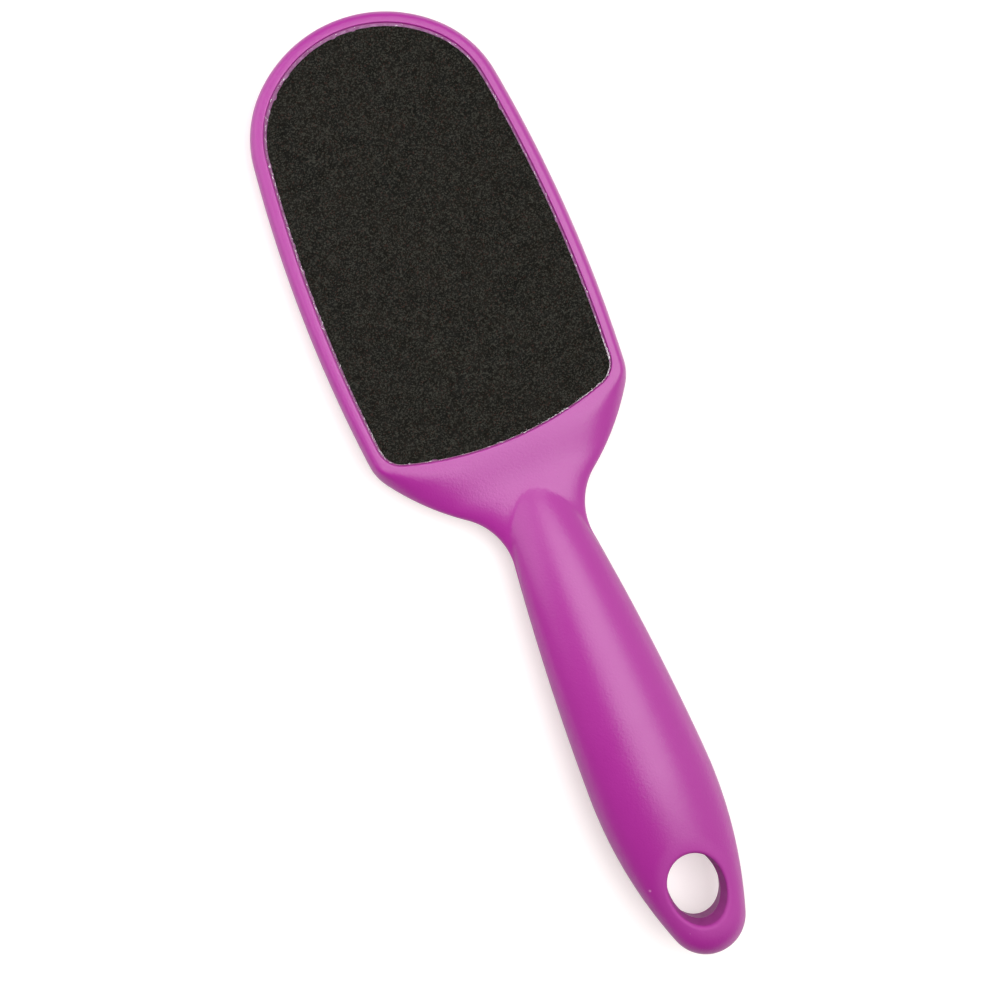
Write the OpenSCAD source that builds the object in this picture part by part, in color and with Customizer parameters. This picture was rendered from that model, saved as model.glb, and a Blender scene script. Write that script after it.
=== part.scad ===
// Foot file: a two-shell paddle with a hang hole and an abrasive sheet on each face.
// X runs across, Y along towards the tip of the head, and Z is square to the abrasive faces.
// The shells meet at z = 0, and the origin is the middle of the whole object.

/* [Outline] */
// Overall length, from the tip of the head to the end of the handle
body_l = 259; // [230:1:290]
// Greatest width of the head
head_w = 73.4; // [62:0.2:86]
// Radius of the middle of the tip, as a share of half the width of the head
tip_share = 0.97; // [0.92:0.01:1.1]
// Half the angle of the middle arc of the tip, in degrees
tip_angle = 44.5; // [30:0.5:50]
// Distance from the tip to the widest place of the head
widest_at = 77; // [64:1:90]
// Radius of the nearly straight sides of the head
side_r = 355; // [250:5:500]
// Radius of the lower corners of the head
corner_r = 13; // [9:0.5:16]
// Distance from the widest place to the centres of the lower corners
corner_drop = 28.6; // [23:0.2:34]
// Radius of the bowed shoulders below the corners
shoulder_r = 68; // [56:1:90]
// Width of the neck
neck_w = 21.9; // [18:0.1:26]
// Distance from the centres of the lower corners to the narrowest place of the neck
neck_drop = 37.2; // [33:0.2:44]
// Radius of the hollow at each side of the neck
neck_r = 17; // [13:0.5:20]
// Radius of the long taper from the neck to the belly of the handle
taper_r = 700; // [500:10:1000]
// Greatest width of the handle
belly_w = 32.9; // [27:0.1:39]
// Distance from the end of the handle to its widest place
belly_rise = 46.4; // [38:0.2:55]
// Radius of the rounded end of the handle
tail_r = 10.5; // [9:0.1:12]

/* [Thickness] */
// Thickness of the head over its rim
head_t = 9; // [8:0.1:12]
// Width of the rounding round the edge of the head
edge_w = 2.2; // [1.4:0.1:3.2]
// Width of the rounding along the foot of the shoulders
shoulder_edge_w = 9; // [6:0.2:10]
// Depth of the scoop between the abrasive sheet and the handle
scoop_depth = 1.4; // [0.8:0.1:1.8]
// Thickness of the handle at the neck
neck_t = 14.4; // [12.4:0.2:17]
// Thickness of the handle at its thickest place
belly_t = 20.8; // [18:0.2:24]
// Distance from the end of the handle to its thickest place
thickest_rise = 54; // [45:1:63]
// Thickness of the handle where its end starts to round off
tail_t = 11.6; // [10:0.2:14]
// Length over which the end of the handle rounds off
nose_l = 9; // [6:0.5:11]
// Length of the domed front of the handle, from its foot to the neck
dome_l = 16.4; // [13:0.2:20]

/* [Abrasive sheets] */
// Width of the plastic rim round the recess
rim_w = 3.6; // [3:0.1:5]
// Distance from the centres of the lower corners of the head to the end of the recess
recess_drop = 8.7; // [7:0.1:10.4]
// Radius of the bowed lower edge of the recess
recess_end_r = 90; // [70:1:140]
// Radius of the lower corners of the recess
recess_corner_r = 6.6; // [4:0.1:9]
// Depth of the recess
recess_depth = 0.8; // [0.5:0.05:1]
// Gap between the wall of the recess and the sheet
sheet_gap = 0.3; // [0.1:0.05:0.6]
// Margin of bare backing round the abrasive coat
coat_margin = 0.55; // [0.3:0.05:1.2]
// Thickness of the adhesive film
adhesive_t = 0.15; // [0.05:0.05:0.3]
// Thickness of the backing paper
backing_t = 0.35; // [0.2:0.05:0.6]
// Thickness of the abrasive coat
coat_t = 0.4; // [0.2:0.05:0.8]

/* [Hang hole] */
// Length of the hang hole at the parting plane
hole_l = 19; // [15:0.2:21]
// Width of the hang hole at the parting plane
hole_w = 13.6; // [11:0.2:15]
// Distance from the end of the handle to the centre of the hang hole
hole_rise = 19.6; // [17.6:0.2:23]
// Draft of the side walls of the hole, in degrees
hole_draft = 8.5; // [4:0.5:11]
// Draft of the end walls of the hole, in degrees
hole_end_draft = 3; // [1:0.5:6]

/* [Shell construction] */
// Thickness of the outer walls
wall_t = 1.8; // [1.5:0.1:2.2]
// Width of the wall where the two shells meet
seam_w = 2.4; // [2:0.1:3]
// Width of the tongue along the seam
tongue_w = 0.8; // [0.6:0.05:1]
// Height of the tongue along the seam
tongue_h = 0.7; // [0.5:0.05:0.9]
// Clearance round the tongue and round each peg
fit_gap = 0.1; // [0.05:0.05:0.2]
// Thickness of the ribs inside
rib_t = 1.2; // [0.8:0.1:2]
// Spacing of the ribs across the head
head_rib_pitch = 20; // [16:1:26]
// Distance from the centre line to the long ribs of the head
long_rib_x = 12; // [9:0.5:16]
// Spacing of the ribs across the handle
grip_rib_pitch = 18; // [14:1:26]
// Diameter of the locating pegs
peg_d = 3.2; // [2.4:0.1:3.8]
// Height of the locating pegs over the parting plane
peg_h = 1.5; // [1:0.1:1.8]
// Diameter of the bosses that carry the pegs
boss_d = 6.6; // [5.8:0.2:8]
// Distance from the widest edge of the head in to its pegs
head_peg_inset = 12.7; // [10.5:0.1:15]
// Distance from the tip to the upper row of pegs in the head
upper_peg_drop = 37; // [30:0.5:44]
// Distance from the centres of the lower corners up to the lower row of pegs
lower_peg_rise = 8.6; // [7:0.2:12]
// Distance from the neck up to its peg
neck_peg_rise = 8.8; // [7:0.2:11]
// Distance from the end of the handle to its peg
grip_peg_rise = 62; // [50:0.5:74]

/* [Hidden] */
$fn = 40;

plastic = [0.72, 0.27, 0.62];
film = [0.86, 0.82, 0.74];
paper = [0.80, 0.76, 0.77];
grit = [0.16, 0.16, 0.14];

// How far a cut runs past the solid that it cuts
cut_over = 1;
// Height of the rim of the head over the parting plane
head_half = head_t / 2;
// Distances from the tip to the places along the object
corner_at = widest_at + corner_drop;
recess_end = corner_at + recess_drop;
neck_at = corner_at + neck_drop;
dome_at = neck_at - dome_l;
thickest_at = body_l - thickest_rise;
belly_at = body_l - belly_rise;
hole_at = body_l - hole_rise;
// Exponent of the domed front of the handle, in plan and from the side
dome_power = 1.9;
// Blend of the dome into the shoulders, at its front and at its sides
crease_blend = 0.2;
flank_blend = 2.4;
// Distance past the neck over which the shoulder surface runs out
runout_l = 24;
// Points across the outer surface and across the inner one
outer_points = 24;
inner_points = 12;
// Steps of the arcs of the outline: tip, flank, side, corner, shoulder, neck, taper, belly, tail
outer_steps = [5, 8, 14, 7, 5, 8, 10, 8, 8];
inner_steps = [3, 4, 8, 4, 4, 5, 7, 5, 4];
// Steps of the arcs of the recess: tip, flank, side, corner, end
recess_steps = [8, 10, 16, 8, 12];
oval_steps = 48;

// Ease from 0 to 1 with a level start and end
function ease(t) = let (c = min(max(t, 0), 1)) c * c * (3 - 2 * c);

// The point at distance r1 from c1 and r2 from c2, on the side that e turned by 90 degrees points to
function meet(c1, r1, c2, r2) =
  let (way = c2 - c1, gap = norm(way), e = way / gap)
  let (a = (r1 * r1 - r2 * r2 + gap * gap) / gap / 2)
  c1 + e * a + [-e[1], e[0]] * sqrt(r1 * r1 - a * a);

// Direction of the outward normal where two tangent circles meet: 0 at the tip, 180 at the end
function joint_angle(c1, r1, bow1, c2, r2, bow2) =
  let (forward = bow1 * bow2 < 0 ? bow1 > 0 : r1 > r2)
  let (e = forward ? c2 - c1 : c1 - c2)
  atan2(e[0], -e[1]);

// A chain of tangent arcs: rows of [centre, radius, bow, start angle, end angle, steps].
// A centre is [distance from the centre line, distance from the tip]. Bow is 1 outwards, -1 inwards.
function chain(c, r, bow, steps) =
  let (last = len(c) - 1)
  [
    for (i = [0 : last]) [
      c[i], r[i], bow[i],
      i == 0 ? 0 : joint_angle(c[i - 1], r[i - 1], bow[i - 1], c[i], r[i], bow[i]),
      i == last ? 180 : joint_angle(c[i], r[i], bow[i], c[i + 1], r[i + 1], bow[i + 1]),
      steps[i]
    ]
  ];

// The point of an arc at angle a, inset by m
function on_arc(arc, a, m) = arc[0] + arc[2] * (arc[1] - arc[2] * m) * [sin(a), -cos(a)];

// Points of one side of a chain, inset by m, without its two ends
function side_points(arcs, m) = [
  for (k = [0 : len(arcs) - 1], i = [1 : arcs[k][5]])
    if (k < len(arcs) - 1 || i < arcs[k][5])
      on_arc(arcs[k], arcs[k][3] + (arcs[k][4] - arcs[k][3]) * i / arcs[k][5], m)
];

// The first and last point of a chain, inset by m
function start_point(arcs, m) = on_arc(arcs[0], 0, m);
function end_point(arcs, m) = on_arc(arcs[len(arcs) - 1], 180, m);

// Model coordinates of a point given across and from the tip
function place(p) = [p[0], body_l / 2 - p[1]];

// The closed outline of a chain, inset by m, in model coordinates
function outline(arcs, m) =
  let (half = side_points(arcs, m))
  [
    place(start_point(arcs, m)),
    for (p = half) place(p),
    place(end_point(arcs, m)),
    for (i = [len(half) - 1 : -1 : 0]) place([-half[i][0], half[i][1]])
  ];

// Circles of the body outline. The flank runs on from the tip at tip_angle and into the side.
side_c = [head_w / 2 - side_r, widest_at];
tip_r = tip_share * head_w / 2;
tip_c = [0, tip_r];
tip_way = [sin(tip_angle), -cos(tip_angle)];
flank_start = tip_c + tip_r * tip_way - side_c;
flank_r = (side_r * side_r - flank_start * flank_start) / (side_r - flank_start * tip_way) / 2;
flank_c = tip_c + (tip_r - flank_r) * tip_way;
corner_reach = side_r - corner_r;
corner_c = [side_c[0] + sqrt(corner_reach * corner_reach - corner_drop * corner_drop), corner_at];
neck_c = [neck_w / 2 + neck_r, neck_at];
shoulder_c = meet(corner_c, shoulder_r - corner_r, neck_c, shoulder_r + neck_r);
tail_c = [0, body_l - tail_r];
belly_half = belly_w / 2;
belly_run = tail_c[1] - belly_at;
belly_r = (belly_half * belly_half - tail_r * tail_r + belly_run * belly_run) / (belly_half - tail_r) / 2;
belly_c = [belly_half - belly_r, belly_at];
taper_c = meet(neck_c, taper_r + neck_r, belly_c, taper_r - belly_r);

// The body outline as a chain with the given steps
function body_arcs(steps) = chain(
  [tip_c, flank_c, side_c, corner_c, shoulder_c, neck_c, taper_c, belly_c, tail_c],
  [tip_r, flank_r, side_r, corner_r, shoulder_r, neck_r, taper_r, belly_r, tail_r],
  [1, 1, 1, 1, 1, -1, 1, 1, 1],
  steps
);
outer_arcs = body_arcs(outer_steps);
inner_arcs = body_arcs(inner_steps);

// The recess: the head's own circles inset by the rim, and a bowed lower edge
end_c = [0, recess_end - recess_end_r];
recess_side_r = side_r - rim_w;
recess_corner_c = meet(
  side_c, recess_side_r - recess_corner_r,
  end_c, recess_end_r - recess_corner_r
);
recess_arcs = chain(
  [tip_c, flank_c, side_c, recess_corner_c, end_c],
  [tip_r - rim_w, flank_r - rim_w, recess_side_r, recess_corner_r, recess_end_r],
  [1, 1, 1, 1, 1],
  recess_steps
);

// Half the width of the outline at distance d from the tip, and that times its slope
function plan(d) =
  let (arc = [for (a = outer_arcs) if (d <= on_arc(a, a[4], 0)[1] || a[4] == 180) a][0])
  let (off = d - arc[0][1], rise = arc[2] * sqrt(max(arc[1] * arc[1] - off * off, 0)))
  let (w = arc[0][0] + rise)
  [w, arc[0][0] == 0 ? -off : -w * off / rise];

// Distance in from the outline, true near it
function inset_at(x, d) =
  let (p = plan(d), slope = sqrt(p[1] * p[1] + x * x))
  slope == 0 ? body_l : max(p[0] * p[0] - x * x, 0) / slope / 2;

// Quarter round over the width w, from 0 at the outline to 1
function quarter(inset, w) = inset >= w ? 1 : sqrt(1 - pow(1 - inset / w, 2));

// Smooth maximum of two heights, less smooth where both are low
function blend_max(a, b, k) =
  let (m = max(a, b), s = min(k, m))
  s <= 0 ? m : m + pow(max(s - abs(a - b), 0), 2) / s / 4;

// Height of the head, of its scooped shoulders and of their runout along the handle
function plate_height(x, d) =
  let (flat = head_half - scoop_depth * ease((d - recess_end) / (dome_at - recess_end)))
  let (edge = edge_w + (shoulder_edge_w - edge_w) * ease((d - corner_at) / (dome_at - corner_at)))
  let (left = 1 - ease((d - neck_at) / runout_l))
  flat * left * quarter(inset_at(x, d), edge);

// Share of its full size that the handle has along its domed front
function dome_share(d) =
  let (t = min(max((d - dome_at) / (neck_at - dome_at), 0), 1))
  pow(1 - pow(1 - t, dome_power), 1 / dome_power);

// Height of the handle on its centre line
function spine_height(d) =
  let (rise = sin(90 * min(max((d - neck_at) / (thickest_at - neck_at), 0), 1)))
  let (fall = ease((d - thickest_at) / (body_l - thickest_at)))
  let (nose = min(max((d - body_l + nose_l) / nose_l, 0), 1))
  let (t = neck_t + (belly_t - neck_t) * rise - (belly_t - tail_t) * fall)
  t / 2 * dome_share(d) * sqrt(1 - nose * nose);

// Height of the handle, an ellipse across
function grip_height(x, d) =
  let (w = d < neck_at ? neck_w / 2 * dome_share(d) : plan(d)[0])
  w <= abs(x) ? 0 : spine_height(d) * sqrt(1 - pow(x / w, 2));

// Height of the outer surface over the parting plane
function outer_height(x, d) =
  let (sides = ease((d - dome_at) / (neck_at - dome_at)))
  let (blend = crease_blend + (flank_blend - crease_blend) * sides)
  blend_max(plate_height(x, d), grip_height(x, d), blend);

// Height of the inner surface over the parting plane
function inner_height(x, d) =
  let (under_sheet = recess_depth * (1 - ease((d - recess_end) / wall_t)))
  max(outer_height(x, d) - wall_t - under_sheet, tongue_h);

// Shares of the half width at which a station has its points, closer together towards the edges
function across_shares(n) = [for (j = [0 : n]) -cos(180 * j / n)];

// A solid through a row of stations, closed by a point at each end
module spindle(first, stations, last) {
  m = len(stations[0]);
  n = len(stations);
  points = [first, for (s = stations, p = s) p, last];
  end = n * m + 1;
  faces = [
    for (j = [0 : m - 1]) [0, 1 + (j + 1) % m, 1 + j],
    for (i = [0 : n - 2], j = [0 : m - 1])
      let (a = 1 + i * m + j, b = 1 + i * m + (j + 1) % m)
      each [[a, b, b + m], [a, b + m, a + m]],
    for (j = [0 : m - 1]) [end, end - m + j, end - m + (j + 1) % m]
  ];
  polyhedron(points, faces);
}

// Outer form of one half, over the parting plane
module half_body() {
  stations = [
    for (p = side_points(outer_arcs, 0)) [
      for (s = across_shares(outer_points))
        [each place([p[0] * s, p[1]]), abs(s) == 1 ? 0 : outer_height(p[0] * s, p[1])]
    ]
  ];
  spindle(
    [each place(start_point(outer_arcs, 0)), 0],
    stations,
    [each place(end_point(outer_arcs, 0)), 0]
  );
}

// Space inside one half, run past the parting plane
module half_space() {
  stations = [
    for (p = side_points(inner_arcs, seam_w)) [
      for (s = across_shares(inner_points))
        [each place([p[0] * s, p[1]]), abs(s) == 1 ? -cut_over : inner_height(p[0] * s, p[1])]
    ]
  ];
  spindle(
    [each place(start_point(inner_arcs, seam_w)), -cut_over],
    stations,
    [each place(end_point(inner_arcs, seam_w)), -cut_over]
  );
}

// A wall inside one half, from the parting plane up, with its middle at the given place
module rib(x, d, w, l) {
  translate([each place([x, d]), belly_t / 2])
    cube([w, l, belly_t], center = true);
}

// Ribs across and along the head, and across the handle
module ribs() {
  for (i = [-2.5 : 1 : 1.5])
    rib(0, widest_at + i * head_rib_pitch, head_w, rib_t);
  for (x = [-long_rib_x, long_rib_x])
    rib(x, (neck_at - neck_r) / 2, rib_t, neck_at - neck_r);
  for (d = [neck_at + grip_rib_pitch / 2 : grip_rib_pitch : hole_at - hole_l / 2 - grip_rib_pitch / 2])
    rib(0, d, belly_w, rib_t);
}

// Places of the locating pegs
head_peg_x = head_w / 2 - head_peg_inset;
peg_places = [
  for (x = [-head_peg_x, head_peg_x], d = [upper_peg_drop, corner_at - lower_peg_rise]) [x, d],
  [0, neck_at - neck_peg_rise],
  [0, body_l - grip_peg_rise]
];

// Upright cylinders at the places of the pegs
module at_pegs(d, z, h) {
  for (p = peg_places)
    translate([each place(p), z])
      cylinder(d = d, h = h);
}

// Oval of the hang hole, wider by m all round, at height z over the parting plane
function hole_oval(m, z) = [
  for (i = [0 : oval_steps - 1])
    let (a = 360 * i / oval_steps)
    [(hole_w / 2 + z * tan(hole_draft) + m) * cos(a), (hole_l / 2 + z * tan(hole_end_draft) + m) * sin(a)]
];

// The hang hole through one half, widening away from the parting plane
module half_hole() {
  top = belly_t / 2;
  low = hole_oval(0, -cut_over)[0][0];
  high = hole_oval(0, top)[0][0];
  low_end = hole_oval(0, -cut_over)[oval_steps / 4][1];
  high_end = hole_oval(0, top)[oval_steps / 4][1];
  translate([each place([0, hole_at]), -cut_over])
    linear_extrude(height = top + cut_over, scale = [high / low, high_end / low_end])
      polygon(hole_oval(0, -cut_over));
}

// The wall round the hang hole inside one half
module hole_wall() {
  translate([each place([0, hole_at]), 0])
    linear_extrude(height = belly_t)
      polygon(hole_oval(wall_t, tail_t / 2));
}

// The shallow recess for one abrasive sheet
module recess() {
  translate([0, 0, head_half - recess_depth])
    linear_extrude(height = recess_depth + cut_over)
      polygon(outline(recess_arcs, 0));
}

// One hollow half, with its ribs, bosses, recess and hang hole
module half_shell() {
  difference() {
    half_body();
    difference() {
      half_space();
      ribs();
      at_pegs(boss_d, 0, belly_t);
      hole_wall();
    }
    recess();
    half_hole();
  }
}

// A band along the seam, between two insets from the outline
module seam_band(inset_a, inset_b, z, h) {
  translate([0, 0, z])
    linear_extrude(height = h)
      difference() {
        polygon(outline(outer_arcs, inset_a));
        polygon(outline(outer_arcs, inset_b));
      }
}

// A flat layer of one sheet, inset from the wall of the recess, on the floor of the recess
module layer(inset, rise, t) {
  translate([0, 0, head_half - recess_depth + rise])
    linear_extrude(height = t)
      polygon(outline(recess_arcs, inset));
}

module adhesive() {
  color(film) layer(sheet_gap, 0, adhesive_t);
}

module backing() {
  color(paper) layer(sheet_gap, adhesive_t, backing_t);
}

module abrasive_coat() {
  color(grit) layer(sheet_gap + coat_margin, adhesive_t + backing_t, coat_t);
}

tongue_inset = (seam_w - tongue_w) / 2;

// Front half, with a groove along its seam and a socket for each peg
module front_shell() {
  color(plastic)
    difference() {
      half_shell();
      seam_band(tongue_inset - fit_gap, tongue_inset + tongue_w + fit_gap, -cut_over, cut_over + tongue_h + fit_gap);
      at_pegs(peg_d + 2 * fit_gap, -cut_over, cut_over + peg_h + fit_gap);
    }
}

// Rear half, with the tongue and the pegs
module rear_shell() {
  color(plastic)
    union() {
      mirror([0, 0, 1])
        half_shell();
      seam_band(tongue_inset, tongue_inset + tongue_w, -tongue_h, 2 * tongue_h);
      at_pegs(peg_d, -peg_h, 2 * peg_h);
    }
}

module front_adhesive() {
  adhesive();
}

module front_backing() {
  backing();
}

module front_grit() {
  abrasive_coat();
}

module rear_adhesive() {
  mirror([0, 0, 1]) adhesive();
}

module rear_backing() {
  mirror([0, 0, 1]) backing();
}

module rear_grit() {
  mirror([0, 0, 1]) abrasive_coat();
}

front_shell();
front_adhesive();
front_backing();
front_grit();
rear_shell();
rear_adhesive();
rear_backing();
rear_grit();
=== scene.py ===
import math

import bpy
import numpy as np
from mathutils import Euler, Matrix, Vector, geometry, kdtree, noise


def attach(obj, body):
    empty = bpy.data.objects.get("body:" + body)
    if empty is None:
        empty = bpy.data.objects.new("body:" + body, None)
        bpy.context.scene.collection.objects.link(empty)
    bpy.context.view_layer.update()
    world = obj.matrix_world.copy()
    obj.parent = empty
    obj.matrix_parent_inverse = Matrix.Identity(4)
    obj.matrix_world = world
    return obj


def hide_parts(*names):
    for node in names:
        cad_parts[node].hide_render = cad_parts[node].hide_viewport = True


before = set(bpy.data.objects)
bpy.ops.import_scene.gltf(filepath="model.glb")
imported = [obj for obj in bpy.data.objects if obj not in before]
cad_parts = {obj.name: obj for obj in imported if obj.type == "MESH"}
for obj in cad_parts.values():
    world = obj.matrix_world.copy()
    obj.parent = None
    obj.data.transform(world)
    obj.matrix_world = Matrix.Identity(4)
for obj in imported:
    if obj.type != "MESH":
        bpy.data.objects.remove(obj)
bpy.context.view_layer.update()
print("frame loaded:", ", ".join(sorted(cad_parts)))

# Lengths are millimetres until a mesh is made. d is the distance from the tip, x runs across.
mm = 0.001
hiddenSpacing = 6.0  # between points on flat faces that nothing shows

# Camera at the photograph's viewing angle, about 0.38 m over the table
cameraSetup = {
    "place": (-33.82, 21.87, 373.47),
    "turn": (-1.2894, -4.8276, -22.7278),  # degrees
    "focal": 52.524,
    "sensor": 36.0,
    "nearClip": 0.01,
}

# Outer form of both shells
body = {
    "length": 259.0,
    "headWidth": 73.39,
    "tipShare": 0.97,
    "tipAngle": 44.5,
    "widestAt": 77.0,
    "sideRadius": 355.0,
    "cornerRadius": 13.0,
    "cornerAt": 105.6,
    "shoulderRadius": 68.0,
    "neckWidth": 21.9,
    "neckAt": 142.8,
    "neckRadius": 17.0,
    "taperRadius": 700.0,
    "bellyWidth": 32.9,
    "bellyAt": 212.6,
    "tailRadius": 10.5,
    "headHalf": 4.5,
    "edgeWidth": 2.2,
    "shoulderEdgeWidth": 12.8,
    "shoulderEdge": (108.5, 119.0),  # where the rounded edge widens
    "crownPower": 3.05,
    "brinkPower": 1.8,
    "scoopDepth": 1.58,
    "scoopEnd": 125.7,
    "neckThick": 14.4,
    "bellyThick": 20.77,
    "thickestAt": 205.0,
    "tailThick": 11.6,
    "noseLength": 9.0,
    "domeAt": 124.2,
    "domeEnd": 160.5,
    "domePower": 3.0,
    "risePower": 2.15,
    "creaseBlend": 0.25,
    "flankBlend": 2.4,
    "runout": 32.0,
    "seamBevel": 0.15,
    "ringSpacing": 0.8,
    "fillSpacing": 0.9,
    "ringInsets": (0.02, 0.07, 0.15, 0.28, 0.45, 0.68, 0.95, 1.25, 1.6, 1.95, 2.3, 2.75),
}

# Fine rings of points along the foot of the handle's domed front
crease = {
    "reach": 8.2,
    "points": 83,
    "halvings": 40,
    "offsets": (-0.8, -0.45, -0.22, -0.08, 0.0, 0.08, 0.22, 0.45, 0.8),
}

# Recess for one abrasive sheet
recess = {
    "rim": 3.6,
    "endAt": 114.3,
    "endRadius": 90.0,
    "cornerRadius": 6.6,
    "floor": 3.7,
    "lip": 0.25,
    "lipSteps": 6,
    "foot": ((0.01, 0.12), (0.035, 0.035), (0.12, 0.0)),  # inset and rise of the wall's rounded foot
    "ringSpacing": 0.6,
    "fillSpacing": 5.0,
}

# Backing paper of one sheet, with its frayed cut edge
paper = {
    "gap": 0.3,  # between the sheet and the recess wall
    "low": 3.85,
    "high": 4.2,
    "bevel": 0.07,
    "fray": 0.08,
    "frayMean": 0.6,
    "frayLayers": ((0.6, 0.7, 11), (0.4, 0.25, 16)),  # share, size and seed
    "fuzz": 0.035,
    "fuzzSize": 0.3,
    "fuzzSeed": 20,
    "topRings": (  # inset in bevels, and drop
        (0.3, 0.02), (1.0, 0.0), (3.0, 0.0), (6.0, 0.0), (10.0, 0.0), (16.0, 0.0),
    ),
    "spacing": 0.35,
    "fillSpacing": 4.0,
}

# Torn paper fibres along the margin, most of them on the right of the handle end
fibres = {
    "count": 520,
    "rootSpacing": 0.1,
    "rootInset": (0.02, 0.5),
    "length": (0.22, 0.85),
    "thick": (0.035, 0.085),
    "turn": 0.35,  # spread of the direction, radians
    "bend": 0.6,
    "sink": 0.01,
    "leastRise": 0.02,
    "reach": 4.64,
    "arch": (0.15, 0.6),  # start and length, in half turns
    "taper": 0.6,
    "rings": 5,
    "corners": (0.5, 2.6, 4.71),  # of the three-sided section, radians
    "endFrom": 90.0,
    "endOver": 20.0,
    "leftOver": 30.0,
    "rightOver": 12.0,
    "weights": {"anywhere": 0.06, "end": 0.25, "endRight": 2.2, "left": 0.2, "clumps": 0.5},
    "clumpSize": 6.0,
    "clumpSeed": 3.0,
    "seed": 11,
}

# Abrasive coat of one sheet
coat = {
    "inset": 0.72,
    "shift": 0.32,  # laid a little towards the handle
    "low": 4.2,
    "high": 4.56,
    "rag": 0.1,
    "ragLayers": ((0.5, 0.8, 23), (0.5, 0.33, 25)),  # share, size and seed
    "chip": 0.3,
    "chipSize": 1.7,
    "chipSeed": 27,
    "chipFrom": 0.25,
    "chipGain": 2.2,
    "relief": 0.03,
    "reliefSize": 0.7,
    "reliefSeed": 23,
    "underInset": 0.03,
    "edgeStep": 0.1,
    "edgeLean": 0.02,
    "topRings": ((0.08, 0.035), (0.2, 0.01), (0.4, 0.0)),  # inset and drop
    "spacing": 0.3,
    "fillSpacing": 0.5,
}

# Oval hang hole
hangHole = {
    "at": 239.6,
    "halfWidth": 6.8,
    "halfLength": 9.7,
    "draft": 8.5,
    "endDraft": 3.0,
    "lip": 1.25,
    "lipSteps": 9,
    "settleRounds": 12,
    "around": 144,
    "wallSteps": 10,
}


def ease(t):
    t = np.clip(t, 0.0, 1.0)
    return t * t * (3.0 - 2.0 * t)


def meet(c1, r1, c2, r2):
    # Point at r1 from c1 and r2 from c2
    way = c2 - c1
    gap = math.hypot(way[0], way[1])
    e = way / gap
    a = (r1 * r1 - r2 * r2 + gap * gap) / gap / 2.0
    return c1 + e * a + np.array((-e[1], e[0])) * math.sqrt(r1 * r1 - a * a)


def chain(circles):
    # Tangent arcs as rows of centre, radius, bow, first angle, last angle
    joints = [0.0]
    for (c1, r1, bow1), (c2, r2, bow2) in zip(circles, circles[1:]):
        forward = bow1 > 0 if bow1 * bow2 < 0 else r1 > r2
        e = c2 - c1 if forward else c1 - c2
        joints.append(math.atan2(e[0], -e[1]))
    joints.append(math.pi)
    return [(c, r, bow, a, b) for (c, r, bow), a, b in zip(circles, joints, joints[1:])]


def ring(arcs, inset, spacing):
    # Closed loop of (x, d), with the same number of points at every inset
    half = []
    for c, r, bow, first, last in arcs:
        steps = max(3, round(r * abs(last - first) / spacing))
        for a in np.linspace(first, last, steps, endpoint=False):
            half.append(c + bow * (r - bow * inset) * np.array((math.sin(a), -math.cos(a))))
    c, r, bow, first, last = arcs[-1]
    half.append(c + (r - inset) * np.array((0.0, 1.0)))
    half = np.array(half)
    half[0, 0] = 0.0
    return np.concatenate([half, half[-2:0:-1] * (-1.0, 1.0)])


def bodyCircles():
    b = body
    side = np.array((b["headWidth"] / 2 - b["sideRadius"], b["widestAt"]))
    tipRadius = b["tipShare"] * b["headWidth"] / 2
    tip = np.array((0.0, tipRadius))
    angle = math.radians(b["tipAngle"])
    way = np.array((math.sin(angle), -math.cos(angle)))
    start = tip + tipRadius * way - side
    flankRadius = (b["sideRadius"] ** 2 - start @ start) / (b["sideRadius"] - start @ way) / 2
    flank = tip + (tipRadius - flankRadius) * way
    reach = b["sideRadius"] - b["cornerRadius"]
    drop = b["cornerAt"] - b["widestAt"]
    corner = np.array((side[0] + math.sqrt(reach * reach - drop * drop), b["cornerAt"]))
    neck = np.array((b["neckWidth"] / 2 + b["neckRadius"], b["neckAt"]))
    shoulder = meet(
        corner, b["shoulderRadius"] - b["cornerRadius"],
        neck, b["shoulderRadius"] + b["neckRadius"],
    )
    tail = np.array((0.0, b["length"] - b["tailRadius"]))
    half = b["bellyWidth"] / 2
    run = tail[1] - b["bellyAt"]
    bellyRadius = (half ** 2 - b["tailRadius"] ** 2 + run ** 2) / (half - b["tailRadius"]) / 2
    belly = np.array((half - bellyRadius, b["bellyAt"]))
    taper = meet(neck, b["taperRadius"] + b["neckRadius"], belly, b["taperRadius"] - bellyRadius)
    return [
        (tip, tipRadius, 1), (flank, flankRadius, 1), (side, b["sideRadius"], 1),
        (corner, b["cornerRadius"], 1), (shoulder, b["shoulderRadius"], 1),
        (neck, b["neckRadius"], -1), (taper, b["taperRadius"], 1),
        (belly, bellyRadius, 1), (tail, b["tailRadius"], 1),
    ]


def recessCircles():
    # The head's own circles inset by the rim, closed by a bowed end
    rim = recess["rim"]
    tip, flank, side = bodyCircles()[:3]
    end = np.array((0.0, recess["endAt"] - recess["endRadius"]))
    corner = meet(
        side[0], side[1] - rim - recess["cornerRadius"],
        end, recess["endRadius"] - recess["cornerRadius"],
    )
    return [
        (tip[0], tip[1] - rim, 1), (flank[0], flank[1] - rim, 1), (side[0], side[1] - rim, 1),
        (corner, recess["cornerRadius"], 1), (end, recess["endRadius"], 1),
    ]


bodyArcs = chain(bodyCircles())
recessArcs = chain(recessCircles())


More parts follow.
